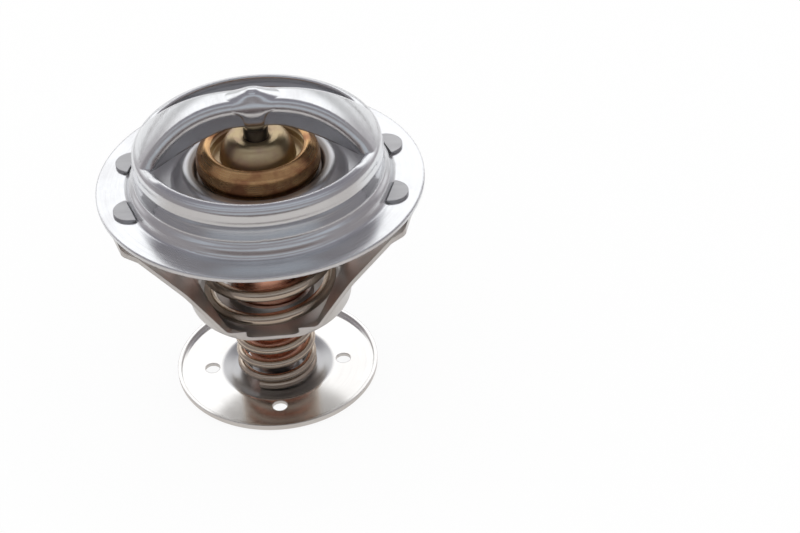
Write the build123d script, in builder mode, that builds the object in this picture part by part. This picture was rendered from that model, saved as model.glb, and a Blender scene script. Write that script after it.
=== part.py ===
from build123d import *
from build123d.topology import SkipClean
import os
from math import cos, hypot, pi, radians, sin

# Engine thermostat of the two-valve kind, worked by a wax element. Millimetres, +Z up.
# It stands on the bypass disc, and the origin is the middle of that disc's underside.
# Heights called h are measured up from the top face of the mounting flange, and
# heights called z from the surface that the thermostat stands on.

# ---------------------------------------------------------------- driving dimensions
flange_top = 50.6
flange_r = 33.5
land_r = 31.2
rim_round = 0.2
cover_t = 1.0
collar_r = 25.4
h_crown = 9.7
window_r = 22.9

h_bridge = 20.2
bridge_half_width = 3.6
bridge_round = 2.0
h_cone_tip = 12.8
cone_tip_r = 2.45

tab_azimuths = (-18.0, 18.0, 162.0, 198.0)
tab_r = 27.4
tab_head_r = 3.6
tab_t = 0.55
tab_slot_gap = 0.15

frame_t = 0.8
tab_post_length = 12.0
frame_half_width = 15.4
foot_half_width = 17.0
foot_r = 33.0
h_frame_foot = -cover_t - frame_t
h_frame_bottom = -28.2
pocket_r = 17.1
pocket_depth = 1.6
pocket_round = 1.5
pocket_collar_height = 3.0

valve_r = 25.1
valve_t = 0.8
h_valve = 1.3
h_hub = 2.2
h_bead = 4.1

running_clearance = 0.05
piston_r = 2.5
piston_tip_r = 1.6
h_piston_shoulder = -2.5
h_piston_end = -10.5

crimp_t = 1.0
element_flange_r = 10.8
guide_r = 7.5
guide_snout_r = 3.9
capsule_r = 7.9
capsule_neck_r = 6.0
capsule_t = 1.0
z_capsule_shoulder = 19.4
z_capsule_end = 6.0

stem_r = 2.4
spring_seat_r = 9.2
spring_seat_t = 0.8
disc_r = 21.65
disc_t = 0.75
disc_hole_r = 1.6
disc_hole_circle_r = 14.2
disc_recess = 0.8
z_disc_step = disc_t + disc_recess
z_disc_rim = 2.55
z_disc_boss = 2.2
ring_r = 3.5
ring_t = 0.6
groove_r = 1.8
z_ring = 0.7
z_stem_end = 0.2

main_wire_r = 1.3
main_coil_r_low = 12.8
main_coil_r_high = 14.55
main_active_turns = 4.55
main_closed_turns = 0.15
bypass_wire_r = 0.95
bypass_coil_r = 7.6
bypass_active_turns = 2.93
bypass_closed_turns = 1.15

points_a_turn = 12
tall = 80.0


def above_flange(points):
    """Turn (radius, h) or (x, h) pairs into points of a sketch on the XZ plane."""
    return [(r, flange_top + h) for r, h in points]


def both_sides(half):
    """Left-to-right points of a symmetric line, from the points of its right half."""
    left = [(-x, h) for x, h in reversed(half) if x > 0.0]
    return left + list(half)


def inset(half, amount):
    """Move the points of a falling line square to itself, down and inwards."""
    moved = []
    for i, (x, h) in enumerate(half):
        x0, h0 = half[max(i - 1, 0)] if i > 0 else (-half[1][0], half[1][1])
        x1, h1 = half[min(i + 1, len(half) - 1)]
        run = hypot(x1 - x0, h1 - h0)
        moved.append((x + amount * (h1 - h0) / run, h - amount * (x1 - x0) / run))
    return moved


def coil(wire_r, r_low, r_high, z_low, z_high, active_turns, closed_turns, start_deg):
    """Centre line of a compression spring whose end coils are closed."""
    closed_pitch = 2.08 * wire_r
    active_pitch = (z_high - z_low - 2.0 * closed_turns * closed_pitch) / active_turns
    turns = active_turns + 2.0 * closed_turns
    steps = round(turns * points_a_turn)
    heights = [0.0]
    for i in range(steps):
        t = turns * (i + 0.5) / steps
        edge = min(t, turns - t) - closed_turns
        share = min(max(edge / 0.3 + 0.5, 0.0), 1.0)
        pitch = closed_pitch + (active_pitch - closed_pitch) * share
        heights.append(heights[-1] + pitch * turns / steps)
    points = []
    for i, height in enumerate(heights):
        part = height / heights[-1]
        r = r_low + (r_high - r_low) * part ** 2
        a = radians(start_deg) + 2.0 * pi * turns * i / steps
        points.append((r * cos(a), r * sin(a), z_low + (z_high - z_low) * part))
    return points


def tab_places():
    """Where the four tabs pass through the flange, turned to face outwards."""
    middle_r = tab_r + tab_t / 2.0
    return Locations(*[Rot(0, 0, azimuth) * Pos(middle_r, 0) for azimuth in tab_azimuths])


def write(sub_part, label):
    """Name a finished sub-part and write its STEP file."""
    sub_part.part.label = label
    export_step(sub_part.part, f"parts/{label}.step")
    print(f"{label}: {sub_part.part.volume:.1f} mm3")


os.makedirs("parts", exist_ok=True)

# ---------------------------------------------------------------- cover
# One stamping: a flat flange, a stepped collar whose step is the seat of the main
# valve, and a channel-shaped bridge drawn down in the middle to hold the piston.
collar_line = above_flange([
    (land_r, 0.0),
    (27.35, 0.0),
    (26.55, 1.7),
    (collar_r, 2.5),
    (collar_r - 0.1, 5.6),
    (collar_r + 0.15, 6.5),
    (collar_r - 0.15, 7.4),
    (collar_r - 0.25, h_crown),
    (window_r, h_crown),
])
collar_bends = [1.1, 1.2, 1.0, 1.6, 1.3, 1.6, 1.5]
h_foot = 6.6
arch_half = [
    (0.0, h_bridge),
    (5.0, 20.1),
    (10.0, 19.3),
    (15.0, 17.4),
    (19.0, 14.9),
    (22.2, 12.1),
    (25.3, 8.3),
]
lip_half = [(0.0, 15.0), (5.0, 14.9), (10.0, 13.3), (15.0, 11.2), (20.0, 9.3)]
waist_half = [(0.0, bridge_half_width), (5.0, 3.65), (10.0, 4.15), (15.0, 5.3), (19.4, 7.2)]
plan_end = 26.0
flare_half = [(21.3, 9.0), (plan_end, 10.4)]


def bridge_block(arch_points, low_points, side_inset, edge_round, reach):
    """Solid under a domed arch, with a waisted plan and rounded top edges.

    It ends at a cylinder of radius reach, and its underside follows low_points.
    """
    foot_x = arch_points[-1][0]
    low_h = low_points[-1][1]
    h_below = h_foot - 2.0
    with BuildPart() as block:
        with BuildSketch(Plane.XZ):
            with BuildLine():
                arch = Spline(*above_flange(arch_points), tangents=((1, 0), (0.7, -1)))
                Polyline(
                    arch @ 1,
                    (foot_x, flange_top + h_below),
                    (0.0, flange_top + h_below),
                    arch @ 0,
                )
            make_face()
        revolve(axis=Axis.Z)
        with BuildSketch(Plane.XY.offset(flange_top)):
            with BuildLine():
                waist_points = [(x, y - side_inset) for x, y in both_sides(waist_half)]
                waist = Spline(*waist_points)
                for side, end, way in ((1, waist @ 1, waist % 1), (-1, waist @ 0, (waist % 0) * -1)):
                    outward = [(side * x, y - side_inset) for x, y in flare_half]
                    flare = Spline(end, *outward, tangents=(way, (side, 0.1)))
                    Line(flare @ 1, (side * plan_end, 0.0))
                Line((-plan_end, 0.0), (plan_end, 0.0))
            make_face()
            mirror(about=Plane.XZ)
        extrude(amount=tall, mode=Mode.INTERSECT)
        with Locations((0.0, 0.0, flange_top)):
            Cylinder(reach, tall, mode=Mode.INTERSECT)
        roof = faces().sort_by(Axis.Z)[-1]
        fillet([edge for edge in roof.edges() if abs((edge @ 0.5).Y) > 1.0], edge_round)
        with BuildSketch(Plane.XZ):
            with BuildLine():
                low = Spline(*above_flange(both_sides(low_points)))
                Polyline(
                    low @ 1,
                    (window_r, flange_top + low_h),
                    (window_r, flange_top),
                    (-window_r, flange_top),
                    (-window_r, flange_top + low_h),
                    low @ 0,
                )
            make_face()
        extrude(amount=tall, both=True, mode=Mode.SUBTRACT)
    return block.part


outside_reach = collar_r - 0.1
inside_reach = collar_r - 0.15 - cover_t
outside_block = bridge_block(arch_half, lip_half, 0.0, bridge_round, outside_reach)
inside_arch = inset(arch_half, cover_t)
inside_low = [(x, h_foot - 2.0) for x in (0.0, 10.0, 20.0)]
inside_block = bridge_block(inside_arch, inside_low, cover_t, bridge_round - cover_t, inside_reach)

cone_sections = [
    (h_cone_tip, cone_tip_r, cone_tip_r),
    (13.8, 2.7, 2.5),
    (14.8, 3.4, 2.8),
    (15.8, 4.5, 3.0),
    (17.2, 5.8, 3.1),
]
h_neck_end = h_bridge - 1.6
boss_half = [
    (0.0, 1.15),
    (0.8, 1.35),
    (1.6, 1.0),
    (2.3, 0.3),
    (3.0, -0.7),
    (3.4, -1.8),
]

with BuildPart() as cover:
    with BuildSketch(Plane.XZ):
        with BuildLine():
            FilletPolyline(*collar_line, radius=collar_bends)
            offset(amount=cover_t, side=Side.LEFT)
        make_face()
    revolve(axis=Axis.Z)
    add(outside_block)
    add(inside_block, mode=Mode.SUBTRACT)
    # the middle of the bridge is drawn down into a cone that holds the piston
    for h, along, across in cone_sections:
        with BuildSketch(Plane.XY.offset(flange_top + h)):
            Ellipse(along, across)
    loft()
    h_neck, neck_along, neck_across = cone_sections[-1]
    with BuildSketch(Plane.XY.offset(flange_top + h_neck)):
        Ellipse(neck_along, neck_across)
    extrude(amount=h_neck_end - h_neck)
    # a low boss with a punch mark closes the cone from above
    with BuildSketch(Plane.XZ):
        with BuildLine():
            boss_line = [(x, h_bridge + rise) for x, rise in boss_half]
            boss = Spline(*above_flange(boss_line), tangents=((1, 0), (0.4, -1)))
            Polyline(boss @ 1, (0.0, (boss @ 1).Y), boss @ 0)
        make_face()
    revolve(axis=Axis.Z)
    # four slots let the tabs of the lower frame through the flange
    with BuildSketch(Plane.XY.offset(flange_top)):
        with tab_places():
            Rectangle(tab_t + 2.0 * tab_slot_gap, 2.0 * (tab_head_r + tab_slot_gap))
    extrude(amount=2.0 * cover_t, both=True, mode=Mode.SUBTRACT)
    # the land under the seal is a face of its own round the rim, clear of the tabs
    with BuildSketch(Plane.XZ):
        with Locations((land_r, flange_top)):
            Rectangle(flange_r - land_r, cover_t, align=(Align.MIN, Align.MAX))
        fillet(vertices().group_by(Axis.X)[-1], rim_round)
    with SkipClean():
        revolve(axis=Axis.Z, clean=False)
write(cover, "cover")

# ---------------------------------------------------------------- lower frame
# One stamping: two legs, a round pocket for the main spring, and four clinched tabs.
leg_half = [
    (0.0, h_frame_bottom),
    (9.6, h_frame_bottom),
    (17.1, -17.3),
    (28.2, -4.4),
    (29.7, h_frame_foot),
    (foot_r + 1.0, h_frame_foot),
]
leg_line = above_flange(both_sides(leg_half)[:5] + both_sides(leg_half)[6:])
leg_bends = [0.8, 4.0, 20.0, 2.4, 2.4, 20.0, 4.0, 0.8]
h_pocket = h_frame_bottom - pocket_depth
pocket_inner_r = pocket_r - frame_t
h_pocket_floor = h_pocket + frame_t
bar_height = 14.0
hole_r = capsule_r + 0.35
waist_end = 25.4
foot_start = 27.8


def pocket_round_bar(radius, h_low, edge_round):
    """Solid of revolution, open towards the flange, with a rounded lower edge."""
    with BuildPart() as bar:
        with BuildSketch(Plane.XY.offset(flange_top + h_low)):
            Circle(radius)
        extrude(amount=bar_height)
        fillet(edges().group_by(Axis.Z)[0], edge_round)
    return bar.part


with BuildPart() as leg_inside:
    with BuildSketch(Plane.XZ):
        with BuildLine():
            Polyline(*above_flange([
                (0.0, h_frame_bottom + frame_t),
                (9.2, h_frame_bottom + frame_t),
                (16.2, -17.1),
                (26.9, -4.7),
                (26.9, 0.0),
                (0.0, 0.0),
            ]), close=True)
        make_face()
        mirror(about=Plane.YZ)
    extrude(amount=tall, both=True)

with BuildPart() as pocket:
    add(pocket_round_bar(pocket_r, h_pocket, pocket_round))
    add(leg_inside.part, mode=Mode.SUBTRACT)

with BuildPart() as tab_posts:
    with BuildSketch(Plane.XY.offset(flange_top + tab_t)):
        with tab_places():
            Rectangle(tab_t, 2.0 * tab_head_r)
    extrude(amount=-tab_post_length)
    with BuildSketch(Plane.XZ):
        with BuildLine():
            Polyline(*above_flange([
                (0.0, tab_t),
                (0.0, -16.0),
                (18.0, -15.6),
                (28.0, -4.3),
                (30.0, -1.3),
                (30.0, tab_t),
            ]), close=True)
        make_face()
        mirror(about=Plane.YZ)
    extrude(amount=tall, both=True, mode=Mode.INTERSECT)

with BuildPart() as tab_heads:
    with BuildSketch(Plane.XY.offset(flange_top)):
        with Locations(*[Rot(0, 0, azimuth) * Pos(tab_r, 0) for azimuth in tab_azimuths]):
            Circle(tab_head_r)
            Rectangle(
                2.0 * tab_head_r,
                2.0 * tab_head_r,
                align=(Align.MAX, Align.CENTER),
                mode=Mode.SUBTRACT,
            )
    extrude(amount=tab_t)

with BuildPart() as lower_frame:
    with BuildSketch(Plane.XZ):
        with BuildLine():
            FilletPolyline(*leg_line, radius=leg_bends)
            offset(amount=frame_t, side=Side.LEFT)
        make_face()
    extrude(amount=flange_r, both=True)
    add(pocket.part)
    spring_room = pocket_round_bar(pocket_inner_r, h_pocket_floor, pocket_round - frame_t)
    add(spring_room, mode=Mode.SUBTRACT)
    # the hole for the capsule has a short collar turned up round it
    with BuildSketch(Plane.XY.offset(flange_top + h_pocket)):
        Circle(hole_r + frame_t)
    extrude(amount=pocket_collar_height)
    with BuildSketch(Plane.XY.offset(flange_top + h_pocket)):
        Circle(hole_r)
    extrude(amount=pocket_collar_height, mode=Mode.SUBTRACT)
    # the strip is narrower than its feet, and the feet end at the flange's rim
    with BuildSketch(Plane.XY.offset(flange_top + h_pocket)):
        with BuildLine():
            Polyline(
                (0.0, frame_half_width),
                (waist_end, frame_half_width),
                (foot_start, foot_half_width),
                (foot_r, foot_half_width),
                (foot_r, 0.0),
                (0.0, 0.0),
                close=True,
            )
        make_face()
        mirror(about=Plane.YZ)
        mirror(about=Plane.XZ)
        Circle(foot_r, mode=Mode.INTERSECT)
    extrude(amount=tall, mode=Mode.INTERSECT)
    add(tab_posts.part)
    add(tab_heads.part)
write(lower_frame, "lower_frame")

# ---------------------------------------------------------------- piston
with BuildPart() as piston:
    with BuildSketch(Plane.XZ):
        with BuildLine():
            Polyline(*above_flange([
                (0.0, h_cone_tip - 1.1),
                (1.6, h_cone_tip - 1.1),
                (1.6, h_cone_tip),
                (piston_r, h_cone_tip),
                (piston_r, h_piston_shoulder),
                (piston_tip_r, h_piston_shoulder - 0.9),
                (piston_tip_r, h_piston_end + 0.6),
                (piston_tip_r - 0.6, h_piston_end),
                (0.0, h_piston_end),
            ]), close=True)
        make_face()
    revolve(axis=Axis.Z)
write(piston, "piston")

# ---------------------------------------------------------------- wax element
# Guide, boot and capsule have flanges of one size, and the crimp collar is rolled over them.
h_capsule_flange = h_hub + crimp_t
h_boot_flange = h_capsule_flange + 0.8
h_guide_flange = h_boot_flange + 0.8

with BuildPart() as guide:
    with BuildSketch(Plane.XZ):
        bore_r = piston_r + running_clearance
        with BuildLine():
            Polyline(*above_flange([
                (4.6, 10.9),
                (3.4, 10.75),
                (bore_r, 10.4),
                (bore_r, h_piston_shoulder - 0.5),
                (guide_snout_r, h_piston_shoulder - 0.5),
                (guide_snout_r, h_guide_flange),
                (element_flange_r, h_guide_flange),
                (element_flange_r, 7.0),
                (10.1, 7.3),
                (9.6, 7.0),
                (9.3, 5.8),
                (guide_r + 0.2, 5.8),
            ]))
            Spline(*above_flange([
                (guide_r + 0.2, 5.8),
                (7.1, 8.6),
                (6.1, 10.2),
                (4.6, 10.9),
            ]), tangents=((0, 1), (-1, 0.15)))
        make_face()
    revolve(axis=Axis.Z)
write(guide, "guide")

with BuildPart() as boot:
    with BuildSketch(Plane.XZ):
        with BuildLine():
            Polyline(*above_flange([
                (guide_snout_r, h_guide_flange),
                (element_flange_r, h_guide_flange),
                (element_flange_r, h_boot_flange),
                (5.3, h_boot_flange),
                (5.3, -12.6),
                (3.9, -14.0),
                (0.0, -14.0),
                (0.0, -11.2),
                (2.1, -11.2),
                (2.1, h_piston_shoulder - 0.5),
                (guide_snout_r, h_piston_shoulder - 0.5),
            ]), close=True)
        make_face()
    revolve(axis=Axis.Z)
write(boot, "boot")

with BuildPart() as capsule:
    shoulder = z_capsule_shoulder - flange_top
    end = z_capsule_end - flange_top
    with BuildSketch(Plane.XZ):
        with BuildLine():
            capsule_line = above_flange([
                (element_flange_r, h_boot_flange),
                (capsule_r - capsule_t, h_boot_flange),
                (capsule_r - capsule_t, shoulder + capsule_t),
                (capsule_neck_r - capsule_t, shoulder + capsule_t),
                (capsule_neck_r - capsule_t, end + capsule_t),
                (0.0, end + capsule_t),
                (0.0, end),
                (capsule_neck_r, end),
                (capsule_neck_r, shoulder),
                (capsule_r, shoulder),
                (capsule_r, h_capsule_flange),
                (element_flange_r, h_capsule_flange),
            ])
            Polyline(*capsule_line, close=True)
        make_face()
        corners = [v for v in vertices() if v.Y < flange_top - 10.0 and v.X > 0.1]
        fillet(corners, 0.45)
    revolve(axis=Axis.Z)
write(capsule, "capsule")

with BuildPart() as wax:
    wax_gap = 0.02
    wax_r = capsule_r - capsule_t - wax_gap
    neck_r = capsule_neck_r - capsule_t - wax_gap
    with BuildSketch(Plane.XZ):
        with BuildLine():
            Polyline(*above_flange([
                (5.3 + wax_gap, h_boot_flange - 0.2),
                (wax_r, h_boot_flange - 0.2),
                (wax_r, shoulder + 1.6),
                (neck_r - 0.6, shoulder + 1.6),
                (neck_r - 0.6, end + 1.6),
                (0.0, end + 1.6),
                (0.0, -14.0 - wax_gap),
                (3.9 + wax_gap, -14.0 - wax_gap),
                (5.3 + wax_gap, -12.6),
            ]), close=True)
        make_face()
    revolve(axis=Axis.Z)
write(wax, "wax")

with BuildPart() as crimp_collar:
    with BuildSketch(Plane.XZ):
        with BuildLine():
            FilletPolyline(*above_flange([
                (capsule_r + 0.3, h_hub),
                (11.9, h_hub),
                (12.75, 4.7),
                (12.35, 7.2),
                (10.4, 8.95),
                (9.4, 8.3),
            ]), radius=[1.1, 4.0, 1.8, 0.9])
            offset(amount=crimp_t, side=Side.LEFT)
        make_face()
    revolve(axis=Axis.Z)
write(crimp_collar, "crimp_collar")

# ---------------------------------------------------------------- main valve
with BuildPart() as valve_plate:
    with BuildSketch(Plane.XZ):
        with BuildLine():
            FilletPolyline(*above_flange([
                (capsule_r + 0.3, h_hub),
                (12.9, h_hub),
                (13.0, h_bead),
                (15.6, h_bead),
                (17.7, h_valve),
                (valve_r, h_valve),
            ]), radius=[0.4, 0.9, 1.2, 1.0])
            offset(amount=valve_t, side=Side.RIGHT)
        make_face()
    revolve(axis=Axis.Z)
write(valve_plate, "valve_plate")

# ---------------------------------------------------------------- springs
main_low = flange_top + h_pocket_floor + main_wire_r
main_high = flange_top + h_bead - valve_t - main_wire_r - 0.3
main_line = coil(
    main_wire_r,
    main_coil_r_low,
    main_coil_r_high,
    main_low,
    main_high,
    main_active_turns,
    main_closed_turns,
    start_deg=-190.0,
)
bypass_low = disc_t + bypass_wire_r
bypass_high = z_capsule_shoulder - spring_seat_t - bypass_wire_r
bypass_line = coil(
    bypass_wire_r,
    bypass_coil_r,
    bypass_coil_r,
    bypass_low,
    bypass_high,
    bypass_active_turns,
    bypass_closed_turns,
    start_deg=-120.0,
)


def wound(points, wire_r):
    """Round wire swept along the centre line of a coil."""
    with BuildPart() as wire:
        with BuildLine():
            line = Spline(*points)
        with BuildSketch(Plane(origin=line @ 0, z_dir=line % 0)):
            Circle(wire_r)
        sweep(path=line, is_frenet=True)
    return wire


main_spring = wound(main_line, main_wire_r)
write(main_spring, "main_spring")
bypass_spring = wound(bypass_line, bypass_wire_r)
write(bypass_spring, "bypass_spring")

# ---------------------------------------------------------------- bypass valve
with BuildPart() as spring_seat:
    with BuildSketch(Plane.XZ):
        with BuildLine():
            Polyline(
                (capsule_neck_r + 0.6, z_capsule_shoulder),
                (spring_seat_r, z_capsule_shoulder),
                (spring_seat_r, z_capsule_shoulder - spring_seat_t),
                (capsule_neck_r + 0.5, z_capsule_shoulder - spring_seat_t),
                (capsule_neck_r + 0.5, z_capsule_shoulder - 2.2),
                (capsule_neck_r + 0.02, z_capsule_shoulder - 2.2),
                (capsule_neck_r + 0.02, z_capsule_shoulder - 0.6),
                close=True,
            )
        make_face()
    revolve(axis=Axis.Z)
write(spring_seat, "spring_seat")

with BuildPart() as stem:
    with BuildSketch(Plane.XZ):
        with BuildLine():
            Polyline(
                (0.0, z_capsule_end),
                (3.4, z_capsule_end),
                (3.4, z_capsule_end - 0.4),
                (stem_r, z_capsule_end - 0.6),
                (stem_r, z_ring + ring_t + 0.05),
                (groove_r, z_ring + ring_t + 0.05),
                (groove_r, z_ring - 0.05),
                (stem_r, z_ring - 0.05),
                (stem_r, z_stem_end + 0.3),
                (stem_r - 0.3, z_stem_end),
                (0.0, z_stem_end),
                close=True,
            )
        make_face()
    revolve(axis=Axis.Z)
write(stem, "stem")

with BuildPart() as retaining_ring:
    with BuildSketch(Plane.XY.offset(z_ring)):
        Circle(ring_r)
        Circle(groove_r + 0.05, mode=Mode.SUBTRACT)
        with Locations((0.0, -ring_r)):
            Rectangle(2.0, ring_r, mode=Mode.SUBTRACT)
    extrude(amount=ring_t)
write(retaining_ring, "retaining_ring")

with BuildPart() as bypass_disc:
    with BuildSketch(Plane.XZ):
        with BuildLine():
            FilletPolyline(
                (stem_r + running_clearance, z_disc_boss),
                (4.2, z_disc_boss),
                (5.4, disc_t),
                (9.5, disc_t),
                (11.9, z_disc_step),
                (disc_r - disc_t, z_disc_step),
                (disc_r - disc_t, z_disc_rim),
                radius=[0.8, 0.8, 3.6, 3.6, 0.3],
            )
            offset(amount=disc_t, side=Side.RIGHT)
        make_face()
    revolve(axis=Axis.Z)
    with BuildSketch():
        with PolarLocations(disc_hole_circle_r, 4, start_angle=-90.0):
            Circle(disc_hole_r)
    extrude(amount=z_disc_rim, mode=Mode.SUBTRACT)
write(bypass_disc, "bypass_disc")
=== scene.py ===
"""Engine thermostat: finishes, fine surfaces, light and camera around the fixed CAD frame.

Everything is in metres in the frame's own axes: +Z up along the valve axis, X along the
bridge, the origin in the middle of the underside of the bypass disc. Tables of a piece's
sizes are in millimetres and become metres where its points are made.
"""

import logging
import math
from dataclasses import dataclass
from enum import Enum

import bpy
import numpy as np
from mathutils import Matrix, Vector

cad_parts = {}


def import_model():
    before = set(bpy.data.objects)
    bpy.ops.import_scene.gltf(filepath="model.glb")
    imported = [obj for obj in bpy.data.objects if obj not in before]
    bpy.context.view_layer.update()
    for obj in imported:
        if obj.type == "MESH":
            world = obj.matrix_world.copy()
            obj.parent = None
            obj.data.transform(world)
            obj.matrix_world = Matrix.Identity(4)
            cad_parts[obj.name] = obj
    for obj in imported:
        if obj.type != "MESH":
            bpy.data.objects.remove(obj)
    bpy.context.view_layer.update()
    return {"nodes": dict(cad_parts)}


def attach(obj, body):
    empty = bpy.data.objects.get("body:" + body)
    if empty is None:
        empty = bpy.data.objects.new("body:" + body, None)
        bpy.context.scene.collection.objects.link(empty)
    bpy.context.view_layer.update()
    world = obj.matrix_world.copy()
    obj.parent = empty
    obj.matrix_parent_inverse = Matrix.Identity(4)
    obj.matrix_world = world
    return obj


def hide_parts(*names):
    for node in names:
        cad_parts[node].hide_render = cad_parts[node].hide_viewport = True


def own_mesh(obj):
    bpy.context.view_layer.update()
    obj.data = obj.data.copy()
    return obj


Triple = tuple[float, float, float]
Colour = Triple
Span = tuple[float, float]
Socket = bpy.types.NodeSocket
Material = bpy.types.Material
Piece = bpy.types.Object

MM = 0.001
LOG = logging.getLogger("thermostat")
WHITE: Colour = (1.0, 1.0, 1.0)
FLANGE_TOP = 50.6 * MM
DISC_STEP_R = 11.6 * MM
SHARP_DEG = 50.0


# ---------------------------------------------------------------------- node helpers
class Tree:
    """A short way to add and link the nodes of one shader tree."""

    def __init__(self, tree: bpy.types.NodeTree) -> None:
        """Start from an empty tree.

        Args:
            tree: the node tree of a material or a world.
        """
        self.tree = tree
        tree.nodes.clear()

    def add(self, kind: str, **settings: object) -> bpy.types.Node:
        """Add one node and set its properties.

        Args:
            kind: the node's class name after ShaderNode.
            settings: property names and values.

        Returns:
            The new node.
        """
        node = self.tree.nodes.new("ShaderNode" + kind)
        for name, value in settings.items():
            setattr(node, name, value)
        return node

    def join(self, source: Socket, target: Socket) -> None:
        """Link an output to an input."""
        self.tree.links.new(source, target)

    def math(self, operation: str, *values: Socket | float, clamp: bool = False) -> Socket:
        """Add one Math node.

        Args:
            operation: the node's operation.
            values: sockets or numbers for its inputs.
            clamp: keep the result between 0 and 1.

        Returns:
            The node's output.
        """
        node = self.add("Math", operation=operation, use_clamp=clamp)
        for slot, value in zip(node.inputs, values):
            if isinstance(value, Socket):
                self.join(value, slot)
            else:
                slot.default_value = value
        return node.outputs[0]

    def spread(self, value: Socket, source: Span, target: Span = (0.0, 1.0)) -> Socket:
        """Map a value from one range to another, smoothly and clamped.

        Args:
            value: the socket to map.
            source: the range's two ends in the value.
            target: the two results at those ends.

        Returns:
            The mapped value.
        """
        node = self.add("MapRange", interpolation_type="SMOOTHSTEP")
        self.join(value, node.inputs["Value"])
        ends = ("From Min", "From Max", "To Min", "To Max")
        for name, number in zip(ends, (*source, *target)):
            node.inputs[name].default_value = number
        return node.outputs["Result"]

    def ramp(self, value: Socket, stops: tuple[tuple[float, Colour], ...]) -> Socket:
        """Colour by a value between 0 and 1.

        Args:
            value: the socket that picks the colour.
            stops: pairs of a place between 0 and 1 and a colour.

        Returns:
            The colour.
        """
        node = self.add("ValToRGB")
        self.join(value, node.inputs["Fac"])
        line = node.color_ramp
        while len(line.elements) < len(stops):
            line.elements.new(0.5)
        for element, (place, _) in zip(line.elements, stops):
            element.position = place
        for element, (_, colour) in zip(line.elements, stops):
            element.color = (*colour, 1.0)
        return node.outputs["Color"]

    def tint(self, factor: Socket, first: Socket | Colour, second: Socket | Colour) -> Socket:
        """Mix two colours.

        Args:
            factor: 0 for the first colour, 1 for the second.
            first: a colour, or a socket that gives one.
            second: the same.

        Returns:
            The mixed colour.
        """
        node = self.add("Mix", data_type="RGBA")
        self.join(factor, node.inputs["Factor"])
        for slot, colour in ((node.inputs["A"], first), (node.inputs["B"], second)):
            if isinstance(colour, Socket):
                self.join(colour, slot)
            else:
                slot.default_value = (*colour, 1.0)
        return node.outputs["Result"]


# ---------------------------------------------------------------------- finishes
class Grain(Enum):
    """How the tool marks of a metal surface run."""

    ROUND = "in rings about the axis"
    SHEET = "along X, as rolled sheet"
    WIRE = "fine specks, as drawn wire"


MARKS_FINER = {Grain.ROUND: 4.0, Grain.SHEET: 3.0, Grain.WIRE: 2.0}
MARK_DETAIL = 3.0
MARK_HEIGHT = 0.01 * MM
MARK_SHARE = 0.6
RING_M_PER_RADIAN = 0.0004
ROLLED_STRETCH = 0.06
CLOUD_DETAIL = 4.0
CLOUD_ROUGHNESS = 0.6
STAIN_BAND: Span = (0.42, 0.66)
ROUGH_BAND: Span = (0.25, 0.75)
DARKER_FADE = 0.1 * MM
SHADE_FADE = 1.0 * MM
EDGE_SAMPLES = 6


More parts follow.
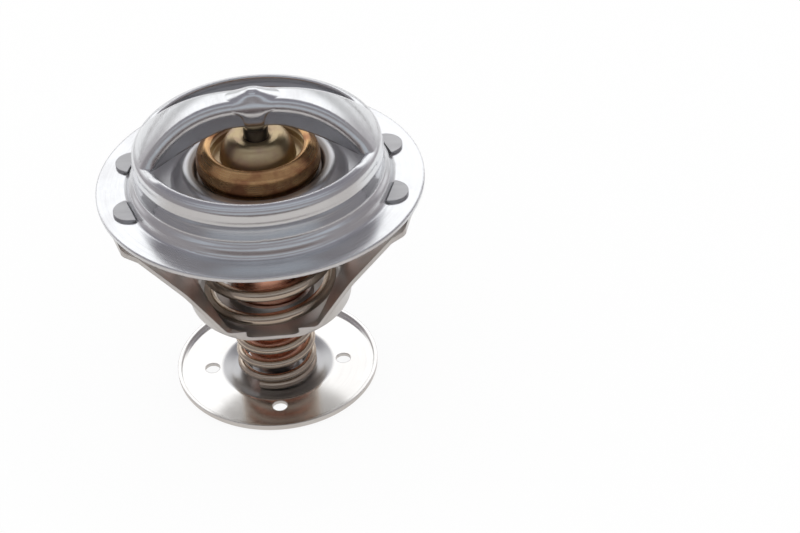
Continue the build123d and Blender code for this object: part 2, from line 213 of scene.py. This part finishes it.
@dataclass(frozen=True)
class MetalFinish:
    """A bare metal with fine tool marks, clouded roughness and a little staining.

    worn_edge is the radius by which edges look rubbed round, in metres. Over the height
    darker_above the metal is darker_colour, and inside the radius painted_shade_radius it
    is painted_shade_colour, a painted shade, and at least as rough as shaded_core_roughness.
    """

    name: str
    colour: Colour
    stain: Colour
    stain_share: float = 0.3
    roughness: float = 0.2
    roughness_spread: float = 0.08
    mark_depth: float = 0.15
    mark_scale: float = 900.0
    cloud_scale: float = 90.0
    worn_edge: float = 0.0
    darker_above: float | None = None
    darker_colour: Colour = (0.5, 0.5, 0.51)
    painted_shade_radius: float = 0.0
    shaded_core_roughness: float = 0.3
    painted_shade_colour: Colour = (0.5, 0.5, 0.51)
    grain: Grain = Grain.ROUND

    def material(self) -> Material:
        """Build the node material.

        Returns:
            The material, with patterns on Object coordinates.
        """
        made = bpy.data.materials.new(self.name)
        made.use_nodes = True
        tree = Tree(made.node_tree)
        place = tree.add("TexCoord").outputs["Object"]
        out = tree.add("OutputMaterial")
        shader = tree.add("BsdfPrincipled")
        shader.inputs["Metallic"].default_value = 1.0
        tree.join(shader.outputs[0], out.inputs["Surface"])

        cloud = tree.add("TexNoise", noise_dimensions="3D")
        tree.join(place, cloud.inputs["Vector"])
        cloud.inputs["Scale"].default_value = self.cloud_scale
        cloud.inputs["Detail"].default_value = CLOUD_DETAIL
        cloud.inputs["Roughness"].default_value = CLOUD_ROUGHNESS
        in_painted_shade = self._painted_shade_share(tree, place) if self.painted_shade_radius > 0.0 else None
        colour = self._colour(tree, place, cloud.outputs[0], in_painted_shade)
        tree.join(colour, shader.inputs["Base Color"])
        marks = self._marks(tree, place)
        rough = self._roughness(tree, marks, cloud.outputs[0], in_painted_shade)
        tree.join(rough, shader.inputs["Roughness"])

        bump = tree.add("Bump")
        bump.inputs["Strength"].default_value = self.mark_depth
        bump.inputs["Distance"].default_value = MARK_HEIGHT
        tree.join(marks, bump.inputs["Height"])
        if self.worn_edge > 0.0:
            worn = tree.add("Bevel", samples=EDGE_SAMPLES)
            worn.inputs["Radius"].default_value = self.worn_edge
            tree.join(worn.outputs[0], bump.inputs["Normal"])
        tree.join(bump.outputs[0], shader.inputs["Normal"])
        return made

    def _colour(self, tree: Tree, place: Socket, cloud: Socket, in_painted_shade: Socket | None) -> Socket:
        """Colour of the metal with its stains, darker heights and a middle of painted shade.

        Args:
            tree: the material's tree.
            place: Object coordinates.
            cloud: soft noise around 0.5.
            in_painted_shade: how much a place belongs to the middle of painted shade, if the
                piece has one.

        Returns:
            The colour.
        """
        stained = tree.spread(cloud, STAIN_BAND, (0.0, self.stain_share))
        colour = tree.tint(stained, self.colour, self.stain)
        if self.darker_above is not None:
            height = tree.add("SeparateXYZ")
            tree.join(place, height.inputs[0])
            edge = self.darker_above
            raised = tree.spread(height.outputs[2], (edge, edge + DARKER_FADE))
            colour = tree.tint(raised, colour, self.darker_colour)
        if in_painted_shade is not None:
            # Painted shade: the middle is darkened to stand in for the shade that falls on it.
            colour = tree.tint(in_painted_shade, colour, self.painted_shade_colour)
        return colour

    def _roughness(self, tree: Tree, marks: Socket, cloud: Socket, in_painted_shade: Socket | None) -> Socket:
        """Roughness that varies with the marks and the cloud.

        Args:
            tree: the material's tree.
            marks: height of the tool marks around 0.5.
            cloud: soft noise around 0.5.
            in_painted_shade: how much a place belongs to the middle of painted shade, if the
                piece has one.

        Returns:
            The roughness.
        """
        of_marks = tree.math("MULTIPLY", marks, MARK_SHARE)
        blended = tree.math("ADD", of_marks, tree.math("MULTIPLY", cloud, 1.0 - MARK_SHARE))
        smooth_end = self.roughness - self.roughness_spread
        rough_end = self.roughness + self.roughness_spread
        rough = tree.spread(blended, ROUGH_BAND, (smooth_end, rough_end))
        if in_painted_shade is not None:
            rough = tree.math("MAXIMUM", rough, tree.math("MULTIPLY", in_painted_shade, self.shaded_core_roughness))
        return rough

    def _painted_shade_share(self, tree: Tree, place: Socket) -> Socket:
        """How much a place belongs to the middle that is painted darker as shade.

        Args:
            tree: the material's tree.
            place: Object coordinates.

        Returns:
            1 inside the painted shade's radius, falling to 0 just outside it.
        """
        flat = tree.add("VectorMath", operation="MULTIPLY")
        tree.join(place, flat.inputs[0])
        flat.inputs[1].default_value = (1.0, 1.0, 0.0)
        length = tree.add("VectorMath", operation="LENGTH")
        tree.join(flat.outputs[0], length.inputs[0])
        fade = (self.painted_shade_radius, self.painted_shade_radius + SHADE_FADE)
        return tree.spread(length.outputs["Value"], fade, (1.0, 0.0))

    def _marks(self, tree: Tree, place: Socket) -> Socket:
        """Height of the tool marks.

        Args:
            tree: the material's tree.
            place: Object coordinates.

        Returns:
            A value near 0.5 that varies across the marks and little along them.
        """
        noise = tree.add("TexNoise", noise_dimensions="3D")
        noise.inputs["Detail"].default_value = MARK_DETAIL
        noise.inputs["Scale"].default_value = self.mark_scale * MARKS_FINER[self.grain]
        if self.grain is Grain.ROUND:
            tree.join(self._ringed(tree, place), noise.inputs["Vector"])
        elif self.grain is Grain.SHEET:
            stretch = tree.add("Mapping")
            stretch.inputs["Scale"].default_value = (ROLLED_STRETCH, 1.0, 1.0)
            tree.join(place, stretch.inputs["Vector"])
            tree.join(stretch.outputs[0], noise.inputs["Vector"])
        else:
            tree.join(place, noise.inputs["Vector"])
        return noise.outputs[0]

    @staticmethod
    def _ringed(tree: Tree, place: Socket) -> Socket:
        """Coordinates that run round the axis, so that a noise on them makes rings.

        Args:
            tree: the material's tree.
            place: Object coordinates.

        Returns:
            Distance from the axis, a short way per radian of turn, and height.
        """
        parts = tree.add("SeparateXYZ")
        tree.join(place, parts.inputs[0])
        flat = tree.add("CombineXYZ")
        tree.join(parts.outputs[0], flat.inputs[0])
        tree.join(parts.outputs[1], flat.inputs[1])
        length = tree.add("VectorMath", operation="LENGTH")
        tree.join(flat.outputs[0], length.inputs[0])
        turn = tree.math("ARCTAN2", parts.outputs[1], parts.outputs[0])
        ringed = tree.add("CombineXYZ")
        tree.join(length.outputs["Value"], ringed.inputs[0])
        tree.join(tree.math("MULTIPLY", turn, RING_M_PER_RADIAN), ringed.inputs[1])
        tree.join(parts.outputs[2], ringed.inputs[2])
        return ringed.outputs[0]


@dataclass(frozen=True)
class SoftFinish:
    """Rubber or wax: no metal, a cloudy colour and a soft sheen."""

    name: str
    colour: Colour
    second: Colour
    roughness: float = 0.6
    cloud_scale: float = 400.0
    cloud_detail: float = 5.0
    cloud_band: Span = (0.35, 0.7)
    bump_strength: float = 0.2
    bump_height: float = 0.02 * MM

    def material(self) -> Material:
        """Build the node material.

        Returns:
            The material, with patterns on Object coordinates.
        """
        made = bpy.data.materials.new(self.name)
        made.use_nodes = True
        tree = Tree(made.node_tree)
        place = tree.add("TexCoord").outputs["Object"]
        shader = tree.add("BsdfPrincipled")
        shader.inputs["Roughness"].default_value = self.roughness
        out = tree.add("OutputMaterial")
        tree.join(shader.outputs[0], out.inputs["Surface"])
        cloud = tree.add("TexNoise")
        cloud.inputs["Scale"].default_value = self.cloud_scale
        cloud.inputs["Detail"].default_value = self.cloud_detail
        tree.join(place, cloud.inputs["Vector"])
        mixed = tree.spread(cloud.outputs[0], self.cloud_band)
        tree.join(tree.tint(mixed, self.colour, self.second), shader.inputs["Base Color"])
        bump = tree.add("Bump")
        bump.inputs["Strength"].default_value = self.bump_strength
        bump.inputs["Distance"].default_value = self.bump_height
        tree.join(cloud.outputs[0], bump.inputs["Height"])
        tree.join(bump.outputs[0], shader.inputs["Normal"])
        return made


Finish = MetalFinish | SoftFinish

STEEL_SHEET = MetalFinish(
    "bright_steel_sheet",
    (0.73, 0.74, 0.76),
    (0.6, 0.59, 0.6),
    roughness=0.2,
    mark_depth=0.03,
    worn_edge=0.6 * MM,
)
FRAME_SHEET = MetalFinish(
    "steel_frame_sheet",
    (0.74, 0.73, 0.72),
    (0.58, 0.55, 0.52),
    roughness=0.44,
    mark_depth=0.05,
    worn_edge=0.25 * MM,
    # Darker grey over the flange top.
    darker_above=FLANGE_TOP,
    grain=Grain.SHEET,
)
VALVE_SHEET = MetalFinish(
    "valve_sheet",
    (0.66, 0.66, 0.68),
    (0.5, 0.49, 0.5),
    roughness=0.36,
    mark_depth=0.05,
    worn_edge=0.5 * MM,
    # Painted shade: a darker middle stands in for the shadow round the brass crimp collar.
    painted_shade_radius=14.0 * MM,
    shaded_core_roughness=0.5,
    painted_shade_colour=(0.36, 0.33, 0.31),
)
DISC_SHEET = MetalFinish(
    "disc_sheet",
    (0.8, 0.79, 0.78),
    (0.7, 0.68, 0.66),
    roughness=0.17,
    roughness_spread=0.05,
    mark_depth=0.03,
    worn_edge=0.3 * MM,
    # Painted shade: the middle under the bypass spring is darkened for its shade and dark
    # reflection.
    painted_shade_radius=DISC_STEP_R,
)
SPRING_WIRE = MetalFinish(
    "spring_wire",
    (0.56, 0.48, 0.4),
    (0.42, 0.34, 0.28),
    roughness=0.22,
    roughness_spread=0.03,
    mark_depth=0.02,
    grain=Grain.WIRE,
)
# Near-black: the steel's own dark tone with painted shade for the pin and stem, which sit in
# shadow.
GROUND_STEEL_IN_SHADE = MetalFinish(
    "ground_steel_in_shade",
    (0.13, 0.12, 0.115),
    (0.08, 0.075, 0.07),
    roughness=0.36,
    mark_depth=0.04,
)
BRASS = MetalFinish(
    "rolled_brass",
    (0.66, 0.4, 0.19),
    (0.34, 0.13, 0.07),
    stain_share=0.75,
    roughness=0.3,
    mark_depth=0.08,
    cloud_scale=210.0,
    worn_edge=0.3 * MM,
)
GUIDE_BRASS = MetalFinish(
    "turned_guide",
    (0.58, 0.46, 0.28),
    (0.5, 0.34, 0.26),
    stain_share=0.8,
    roughness=0.38,
    mark_depth=0.08,
    cloud_scale=160.0,
    worn_edge=0.3 * MM,
)
COPPER = MetalFinish(
    "drawn_copper",
    (0.93, 0.5, 0.36),
    (0.8, 0.36, 0.24),
    roughness=0.28,
    mark_depth=0.05,
)
RUBBER = SoftFinish("moulded_rubber", (0.02, 0.02, 0.02), (0.035, 0.034, 0.033))
WAX = SoftFinish("cast_wax", (0.62, 0.52, 0.33), (0.5, 0.38, 0.2), roughness=0.5)


class FinishShop:
    """Makes each finish's material once and puts it on nodes and new pieces."""

    def __init__(self, nodes: dict[str, Piece]) -> None:
        """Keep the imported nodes, with no material made yet.

        Args:
            nodes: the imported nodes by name.
        """
        self.nodes = nodes
        self.made: dict[Finish, Material] = {}

    def material(self, finish: Finish) -> Material:
        """Give a finish's material, made at its first use.

        Args:
            finish: the finish.

        Returns:
            The material.
        """
        if finish not in self.made:
            self.made[finish] = finish.material()
        return self.made[finish]

    def dress(self, name: str, finish: Finish) -> None:
        """Give every material slot of a CAD node one finish.

        Args:
            name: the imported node's name.
            finish: the finish.
        """
        node = self.nodes[name]
        material = self.material(finish)
        if not node.data.materials:
            node.data.materials.append(material)
        for slot in node.material_slots:
            slot.material = material
        LOG.info("%s dressed with %s", name, finish.name)

    def coat(self, piece: Piece, finish: Finish) -> None:
        """Give a new piece its finish."""
        piece.data.materials.append(self.material(finish))


# ---------------------------------------------------------------------- surfaces
def closed_loft(name: str, rings: np.ndarray) -> Piece:
    """Make a closed solid from a stack of rings.

    Neighbouring rings are joined by quads, and a fan closes each end, so that point
    (i, j) of the grid is vertex i * columns + j.

    Args:
        name: the piece's name.
        rings: points as rows, columns and XYZ, in metres, turning left about the way
            that the stack runs.

    Returns:
        The new object.
    """
    rows, columns, _ = rings.shape
    i, j = np.meshgrid(np.arange(rows - 1), np.arange(columns), indexing="ij")
    this_ring, next_ring = i * columns, (i + 1) * columns
    after = (j + 1) % columns
    corners = [this_ring + j, this_ring + after, next_ring + after, next_ring + j]
    quads = np.stack(corners, -1)
    low, high = rows * columns, rows * columns + 1
    turn = np.arange(columns)
    following = (turn + 1) % columns
    top = (rows - 1) * columns
    fans = [(low, int(b), int(a)) for a, b in zip(turn, following)]
    fans += [(high, int(top + a), int(top + b)) for a, b in zip(turn, following)]
    points = np.concatenate([rings.reshape(-1, 3), rings[:1].mean(1), rings[-1:].mean(1)])
    mesh = bpy.data.meshes.new(name)
    mesh.from_pydata(points.tolist(), [], quads.reshape(-1, 4).tolist() + fans)
    mesh.shade_smooth()
    mesh.set_sharp_from_angle(angle=math.radians(SHARP_DEG))
    piece = bpy.data.objects.new(name, mesh)
    bpy.context.scene.collection.objects.link(piece)
    return piece


@dataclass(frozen=True)
class DrawnCone:
    """The flare that draws the middle of the bridge down on to the piston.

    Each section is a height over the flange, a half width along the bridge and a half
    width across it, where the flare swells past the bridge's two side walls. Squareness
    pairs a height with the power of the section's outline there: 2 is an ellipse, and
    more fills its corners. Soften is how many rows each side the running mean takes in.
    """

    name: str = "drawn_cone"
    sections: tuple[Triple, ...] = (
        (12.78, 2.36, 2.46),
        (13.4, 2.4, 2.85),
        (14.2, 2.55, 3.4),
        (15.0, 2.75, 3.8),
        (16.0, 2.9, 3.98),
        (17.0, 3.15, 4.02),
        (17.7, 3.8, 3.98),
        (18.2, 5.0, 3.88),
        (18.6, 7.2, 3.74),
        (19.0, 8.6, 3.58),
        (19.5, 7.6, 3.36),
        (20.0, 5.8, 2.95),
        (20.3, 4.5, 2.65),
        (20.6, 3.4, 2.36),
        (20.9, 2.65, 2.08),
        (21.2, 2.0, 1.75),
        (21.45, 1.35, 1.28),
        (21.58, 0.75, 0.75),
        (21.62, 0.3, 0.3),
    )
    squareness: tuple[Span, ...] = (
        (12.8, 2.0),
        (15.0, 3.6),
        (18.5, 3.6),
        (20.3, 2.2),
        (21.6, 2.0),
    )
    soften: int = 9
    rows: int = 180
    columns: int = 160

    def build(self, shop: FinishShop) -> Piece:
        """Loft the sections along the axis and fix the piece to the cover.

        A point is (along sgn(cos t) |cos t|^(2/n), across sgn(sin t) |sin t|^(2/n),
        flange top + h), where n is the squareness, and a running mean over the rows
        rounds the corners between the listed heights.

        Args:
            shop: gives the cover's finish.

        Returns:
            The piece.
        """
        listed, along, across = np.array(self.sections).T
        powers = np.array(self.squareness).T
        h = np.linspace(listed[0], listed[-1], self.rows)
        n = np.interp(h, *powers)[:, None]
        t = np.linspace(0.0, 2.0 * np.pi, self.columns, endpoint=False)
        cos, sin = np.cos(t), np.sin(t)
        half_x = self._rounded(np.interp(h, listed, along))[:, None]
        half_y = self._rounded(np.interp(h, listed, across))[:, None]
        x = half_x * np.sign(cos) * np.abs(cos) ** (2.0 / n)
        y = half_y * np.sign(sin) * np.abs(sin) ** (2.0 / n)
        z = np.broadcast_to(h[:, None], x.shape)
        rings = np.stack([x * MM, y * MM, z * MM + FLANGE_TOP], -1)
        piece = closed_loft(self.name, rings)
        shop.coat(piece, STEEL_SHEET)
        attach(piece, "cover_and_frame")
        LOG.info("%s lofted from %d rings", piece.name, self.rows)
        return piece

    def _rounded(self, values: np.ndarray) -> np.ndarray:
        """Running mean over a few rows, with both ends kept.

        Args:
            values: one number a row.

        Returns:
            The softened numbers.
        """
        held = np.pad(values, self.soften, mode="edge")
        width = 2 * self.soften + 1
        return np.convolve(held, np.ones(width) / width, mode="valid")


@dataclass(frozen=True)
class CrownRoll:
    """The rolled edge of the window in the crown, on one side of the bridge.

    The outline is radius and height over the flange, once round the roll: up its inner
    face, over its rounded top, down to the collar, and back through the sheet.
    """

    name: str
    middle_deg: float
    half_deg: float = 64.0
    fade_deg: float = 9.0
    rows: int = 241
    outline: tuple[Span, ...] = (
        (22.84, 9.3),
        (22.84, 9.84),
        (22.92, 9.97),
        (23.1, 10.03),
        (23.3, 10.02),
        (23.5, 9.97),
        (23.7, 9.9),
        (23.9, 9.81),
        (24.1, 9.71),
        (24.3, 9.58),
        (24.48, 9.43),
        (24.64, 9.26),
        (24.78, 9.06),
        (24.4, 8.95),
        (23.6, 9.1),
    )
    crown_height: float = 9.7
    sink: float = 0.03

    def build(self, shop: FinishShop) -> Piece:
        """Carry the outline round the axis and fix the piece to the cover.

        A point is (r cos t, r sin t, flange top + h). Towards both ends the part of h
        over the crown shrinks to nothing with a smooth step and the whole outline sinks
        a little, so the roll fades out into the crown.

        Args:
            shop: gives the cover's finish.

        Returns:
            The piece.
        """
        r, h = np.array(self.outline).T
        turn = np.linspace(-self.half_deg, self.half_deg, self.rows)
        share = np.clip((self.half_deg - np.abs(turn)) / self.fade_deg, 0.0, 1.0)
        share = (share * share * (3.0 - 2.0 * share))[:, None]
        t = np.radians(self.middle_deg + turn)[:, None]
        over = np.maximum(h - self.crown_height, 0.0)
        height = np.minimum(h, self.crown_height) + over * share - self.sink * (1.0 - share)
        height = height * MM + FLANGE_TOP
        rings = np.stack([r * np.cos(t) * MM, r * np.sin(t) * MM, height], -1)
        piece = closed_loft(self.name, rings)
        shop.coat(piece, STEEL_SHEET)
        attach(piece, "cover_and_frame")
        LOG.info("%s rolled over %.0f degrees", piece.name, 2.0 * self.half_deg)
        return piece


@dataclass(frozen=True)
class CoilSpring:
    """A compression spring of round wire with closed end coils, seated at both ends.

    Lengths are in millimetres. The closed coils' pitch is in radii of the wire, and the
    pitch changes over ease_turns between them and the active coils.
    """

    name: str
    node: str
    joint: str
    wire_r: float
    r_low: float
    r_high: float
    z_low: float
    z_high: float
    active_turns: float
    closed_turns: float
    start_deg: float
    z_fixed: float
    travel: float
    closed_pitch_radii: float = 2.08
    ease_turns: float = 0.3
    rings_a_turn: int = 72
    ring_points: int = 28

    def build(self, shop: FinishShop) -> Piece:
        """Sweep the wire and fix it to the valve group.

        Args:
            shop: gives the wire's finish.

        Returns:
            The spring.
        """
        piece = closed_loft(self.name, self._rings() * MM)
        shop.coat(piece, SPRING_WIRE)
        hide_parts(self.node)
        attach(piece, "valve_group")
        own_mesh(piece)
        LOG.info("%s wound, %d vertices", piece.name, len(piece.data.vertices))
        return piece

    def _rings(self) -> np.ndarray:
        """Rings of points round the wire.

        The middle line is (r cos t, r sin t, z). Its pitch is nearly a wire's width in
        the closed end coils and grows smoothly to the active pitch, and its radius runs
        from low to high with the square of the height. A ring is the wire's radius
        times (cos a, sin a) along the outward direction and the line's binormal.

        Returns:
            Points as rows, columns and XYZ, in millimetres.
        """
        turns = self.active_turns + 2.0 * self.closed_turns
        t = np.linspace(0.0, turns, round(turns * self.rings_a_turn) + 1)
        rise = self.z_high - self.z_low
        closed_pitch = self.closed_pitch_radii * self.wire_r
        active_pitch = (rise - 2.0 * self.closed_turns * closed_pitch) / self.active_turns
        middle = (t[1:] + t[:-1]) / 2.0
        from_end = np.minimum(middle, turns - middle) - self.closed_turns
        share = np.clip(from_end / self.ease_turns + 0.5, 0.0, 1.0)
        steps = closed_pitch + (active_pitch - closed_pitch) * share
        part = np.concatenate([[0.0], np.cumsum(steps)])
        part /= part[-1]
        r = self.r_low + (self.r_high - self.r_low) * part**2
        angle = math.radians(self.start_deg) + 2.0 * np.pi * t
        line = np.stack([r * np.cos(angle), r * np.sin(angle), self.z_low + rise * part], -1)
        ahead = np.gradient(line, axis=0)
        ahead /= np.linalg.norm(ahead, axis=1, keepdims=True)
        outward = np.stack([np.cos(angle), np.sin(angle), np.zeros_like(angle)], -1)
        aside = np.cross(ahead, outward)
        aside /= np.linalg.norm(aside, axis=1, keepdims=True)
        outward = np.cross(aside, ahead)
        a = np.linspace(0.0, 2.0 * np.pi, self.ring_points, endpoint=False)[None, :, None]
        ring = np.cos(a) * outward[:, None] + np.sin(a) * aside[:, None]
        return line[:, None] + self.wire_r * ring


MAIN_SPRING = CoilSpring(
    name="main_coil_spring",
    node="main_spring",
    joint="main_valve_lift",
    wire_r=1.3,
    r_low=12.8,
    r_high=14.55,
    z_low=22.9,
    z_high=52.3,
    active_turns=4.55,
    closed_turns=0.15,
    start_deg=-190.0,
    z_fixed=53.8,
    travel=6.5,
)
BYPASS_SPRING = CoilSpring(
    name="bypass_coil_spring",
    node="bypass_spring",
    joint="bypass_slide",
    wire_r=0.95,
    r_low=7.6,
    r_high=7.6,
    z_low=1.7,
    z_high=17.65,
    active_turns=2.93,
    closed_turns=1.15,
    start_deg=-120.0,
    z_fixed=18.6,
    travel=3.0,
)


# ---------------------------------------------------------------------- sub-assemblies
@dataclass(frozen=True)
class SubAssembly:
    """The pieces that move as one body: its CAD nodes' finishes, and its new pieces."""

    finishes: dict[str, Finish]
    pieces: tuple[DrawnCone | CrownRoll | CoilSpring, ...] = ()

    def build(self, shop: FinishShop) -> None:
        """Dress the CAD nodes, then build the new pieces.

        Args:
            shop: gives the finishes.
        """
        for name, finish in self.finishes.items():
            shop.dress(name, finish)
        for piece in self.pieces:
            piece.build(shop)


COVER_AND_FRAME = SubAssembly(
    finishes={"cover": STEEL_SHEET, "lower_frame": FRAME_SHEET, "piston": GROUND_STEEL_IN_SHADE},
    pieces=(
        DrawnCone(),
        CrownRoll("front_crown_roll", middle_deg=-90.0),
        CrownRoll("rear_crown_roll", middle_deg=90.0),
    ),
)
VALVE_GROUP = SubAssembly(
    finishes={
        "guide": GUIDE_BRASS,
        "boot": RUBBER,
        "capsule": COPPER,
        "wax": WAX,
        "crimp_collar": BRASS,
        "valve_plate": VALVE_SHEET,
        "main_spring": SPRING_WIRE,
        "bypass_spring": SPRING_WIRE,
        "spring_seat": FRAME_SHEET,
        "stem": GROUND_STEEL_IN_SHADE,
        "retaining_ring": GROUND_STEEL_IN_SHADE,
    },
    pieces=(MAIN_SPRING, BYPASS_SPRING),
)
BYPASS_VALVE = SubAssembly(finishes={"bypass_disc": DISC_SHEET})


# ---------------------------------------------------------------------- studio
@dataclass(frozen=True)
class Camera:
    """Where the camera stands and how it is turned."""

    eye: Triple = (11.80 * MM, -360.20 * MM, 300.81 * MM)
    elevation_deg: float = 37.386
    yaw_deg: float = -2.5
    roll_deg: float = -2.862
    lens_mm: float = 96.75
    sensor_mm: float = 36.0
    sees: Span = (0.01, 10.0)

    def build(self) -> None:
        """Aim the camera from its elevation, yaw and roll, and make it the scene's own."""
        data = bpy.data.cameras.new("camera")
        data.lens = self.lens_mm
        data.sensor_width = self.sensor_mm
        data.clip_start, data.clip_end = self.sees
        camera = bpy.data.objects.new("camera", data)
        bpy.context.scene.collection.objects.link(camera)
        tilt, roll = math.radians(self.elevation_deg), math.radians(self.roll_deg)
        ahead = Vector((0.0, math.cos(tilt), -math.sin(tilt)))
        down = Vector((0.0, -math.sin(tilt), -math.cos(tilt)))
        across = Vector((1.0, 0.0, 0.0))
        right = math.cos(roll) * across - math.sin(roll) * down
        below = math.sin(roll) * across + math.cos(roll) * down
        turn = Matrix.Rotation(math.radians(self.yaw_deg), 3, "Z")
        axes = [turn @ right, turn @ -below, turn @ -ahead]
        aim = Matrix.Identity(4)
        for column, axis in enumerate(axes):
            for row in range(3):
                aim[row][column] = axis[row]
        aim.translation = Vector(self.eye)
        camera.matrix_world = aim
        bpy.context.scene.camera = camera
        LOG.info("camera aimed")


@dataclass(frozen=True)
class Table:
    """A flat white table that keeps a soft shadow.

    For the camera it glows by the share in glow, which is nearly white. For metal it
    glows by the share in mirrored, and its near part has a warmer and darker tone, a
    painted shadow of the thermostat, which fades to white over the Y range in near_edge.
    """

    half: float = 1.2
    paint: Colour = (0.97, 0.97, 0.97)
    shadowed_near_tone: Colour = (0.57, 0.52, 0.48)
    near_edge: Span = (-0.03, 0.05)
    glow: float = 0.92
    mirrored: float = 0.7

    def build(self) -> None:
        """Make the table."""
        half = self.half
        mesh = bpy.data.meshes.new("table")
        corners = [(-half, -half, 0.0), (half, -half, 0.0), (half, half, 0.0), (-half, half, 0.0)]
        mesh.from_pydata(corners, [], [(0, 1, 2, 3)])
        mesh.materials.append(self._material())
        table = bpy.data.objects.new("table", mesh)
        bpy.context.scene.collection.objects.link(table)
        LOG.info("table laid")

    def _material(self) -> Material:
        """Build the table's paint.

        Returns:
            The material.
        """
        made = bpy.data.materials.new("white_table")
        made.use_nodes = True
        tree = Tree(made.node_tree)
        path = tree.add("LightPath")
        glossy = path.outputs["Is Glossy Ray"]
        place = tree.add("SeparateXYZ")
        tree.join(tree.add("TexCoord").outputs["Object"], place.inputs[0])
        # Painted shadow: the near part that metal mirrors is darker, where the thermostat shades
        # the table.
        near = tree.spread(place.outputs[1], self.near_edge, (1.0, 0.0))
        tone = tree.tint(near, WHITE, self.shadowed_near_tone)
        shine = tree.add("Emission")
        tree.join(tree.tint(glossy, WHITE, tone), shine.inputs["Color"])
        diffuse = tree.add("BsdfDiffuse")
        diffuse.inputs["Color"].default_value = (*self.paint, 1.0)
        to_camera = tree.math("MULTIPLY", path.outputs["Is Camera Ray"], self.glow)
        to_metal = tree.math("MULTIPLY", glossy, self.mirrored)
        mix = tree.add("MixShader")
        tree.join(tree.math("MAXIMUM", to_camera, to_metal), mix.inputs["Fac"])
        tree.join(diffuse.outputs[0], mix.inputs[1])
        tree.join(shine.outputs[0], mix.inputs[2])
        out = tree.add("OutputMaterial")
        tree.join(mix.outputs[0], out.inputs["Surface"])
        return made


@dataclass(frozen=True)
class Surroundings:
    """Plain white light, and a room of several tones that only metal mirrors.

    The room is an arch from the near side over the top to the far side: each stop is an
    angle in degrees and a tone. Below the horizon on the far side it turns to below_tone,
    and towards plus and minus X to side_tone. The ranges are of the direction's parts:
    far_edge of Y, below_edge of Z and side_edge of X. Beyond lit_edge, a share of the
    half turn, the room is brighter by wall_strength.
    """

    arch: tuple[tuple[float, Colour], ...] = (
        (0.0, (0.1, 0.08, 0.08)),
        (9.0, (0.1, 0.08, 0.08)),
        (16.0, (0.25, 0.2, 0.19)),
        (29.0, (0.5, 0.53, 0.56)),
        (46.0, (0.48, 0.51, 0.55)),
        (55.0, (0.25, 0.22, 0.22)),
        (70.0, (0.29, 0.27, 0.28)),
        (79.0, (0.52, 0.56, 0.61)),
        (88.0, (0.52, 0.55, 0.59)),
        (97.0, (0.28, 0.27, 0.3)),
        (129.0, (0.24, 0.23, 0.26)),
        (136.0, (1.0, 1.0, 1.0)),
        (154.0, (1.0, 1.0, 1.0)),
        (160.0, (0.45, 0.45, 0.45)),
        (167.0, (0.45, 0.45, 0.45)),
        (173.0, (0.75, 0.75, 0.75)),
        (180.0, (0.8, 0.8, 0.8)),
    )
    far_edge: Span = (-0.2, 0.2)
    below_tone: Colour = (0.8, 0.8, 0.8)
    below_edge: Span = (-0.3, -0.02)
    side_tone: Colour = (0.33, 0.31, 0.32)
    side_edge: Span = (0.5, 0.85)
    wall_strength: float = 1.4
    lit_edge: Span = (0.68, 0.76)

    def build(self) -> None:
        """Make the world."""
        world = bpy.data.worlds.new("surroundings")
        bpy.context.scene.world = world
        world.use_nodes = True
        tree = Tree(world.node_tree)
        room = self._room(tree)
        plain = tree.add("Background")
        plain.inputs["Color"].default_value = (*WHITE, 1.0)
        path = tree.add("LightPath")
        mix = tree.add("MixShader")
        tree.join(path.outputs["Is Glossy Ray"], mix.inputs["Fac"])
        tree.join(plain.outputs[0], mix.inputs[1])
        tree.join(room, mix.inputs[2])
        out = tree.add("OutputWorld")
        tree.join(mix.outputs[0], out.inputs["Surface"])
        LOG.info("surroundings made from %d tones", len(self.arch))

    def _room(self, tree: Tree) -> Socket:
        """Build the room that metal mirrors.

        The place on the arch is the angle whose tangent is Z over minus Y, divided by a
        half turn: 0 at the near horizon, a half overhead and 1 at the far horizon.

        Args:
            tree: the world's tree.

        Returns:
            The room's background shader.
        """
        parts = tree.add("SeparateXYZ")
        tree.join(tree.add("TexCoord").outputs["Generated"], parts.inputs[0])
        across, along, up = parts.outputs
        turn = tree.math("ARCTAN2", up, tree.math("MULTIPLY", along, -1.0))
        over = tree.math("MULTIPLY", turn, 1.0 / math.pi, clamp=True)
        tone = tree.ramp(over, tuple((angle / 180.0, colour) for angle, colour in self.arch))
        far = tree.spread(along, self.far_edge)
        below = tree.spread(up, self.below_edge, (1.0, 0.0))
        tone = tree.tint(tree.math("MULTIPLY", below, far), tone, self.below_tone)
        side = tree.spread(tree.math("ABSOLUTE", across), self.side_edge)
        room = tree.add("Background")
        tree.join(tree.tint(side, tone, self.side_tone), room.inputs["Color"])
        lit = tree.spread(over, self.lit_edge, (1.0, self.wall_strength))
        tree.join(lit, room.inputs["Strength"])
        return room.outputs[0]


def main() -> None:
    """Dress the frame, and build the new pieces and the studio."""
    logging.basicConfig(level=logging.INFO, format="%(message)s")
    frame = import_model()
    shop = FinishShop(frame["nodes"])
    for assembly in (COVER_AND_FRAME, VALVE_GROUP, BYPASS_VALVE):
        assembly.build(shop)
    for part_of_studio in (Table(), Surroundings(), Camera()):
        part_of_studio.build()
    bpy.context.scene.view_settings.view_transform = "Standard"


if __name__ == "__main__":
    main()
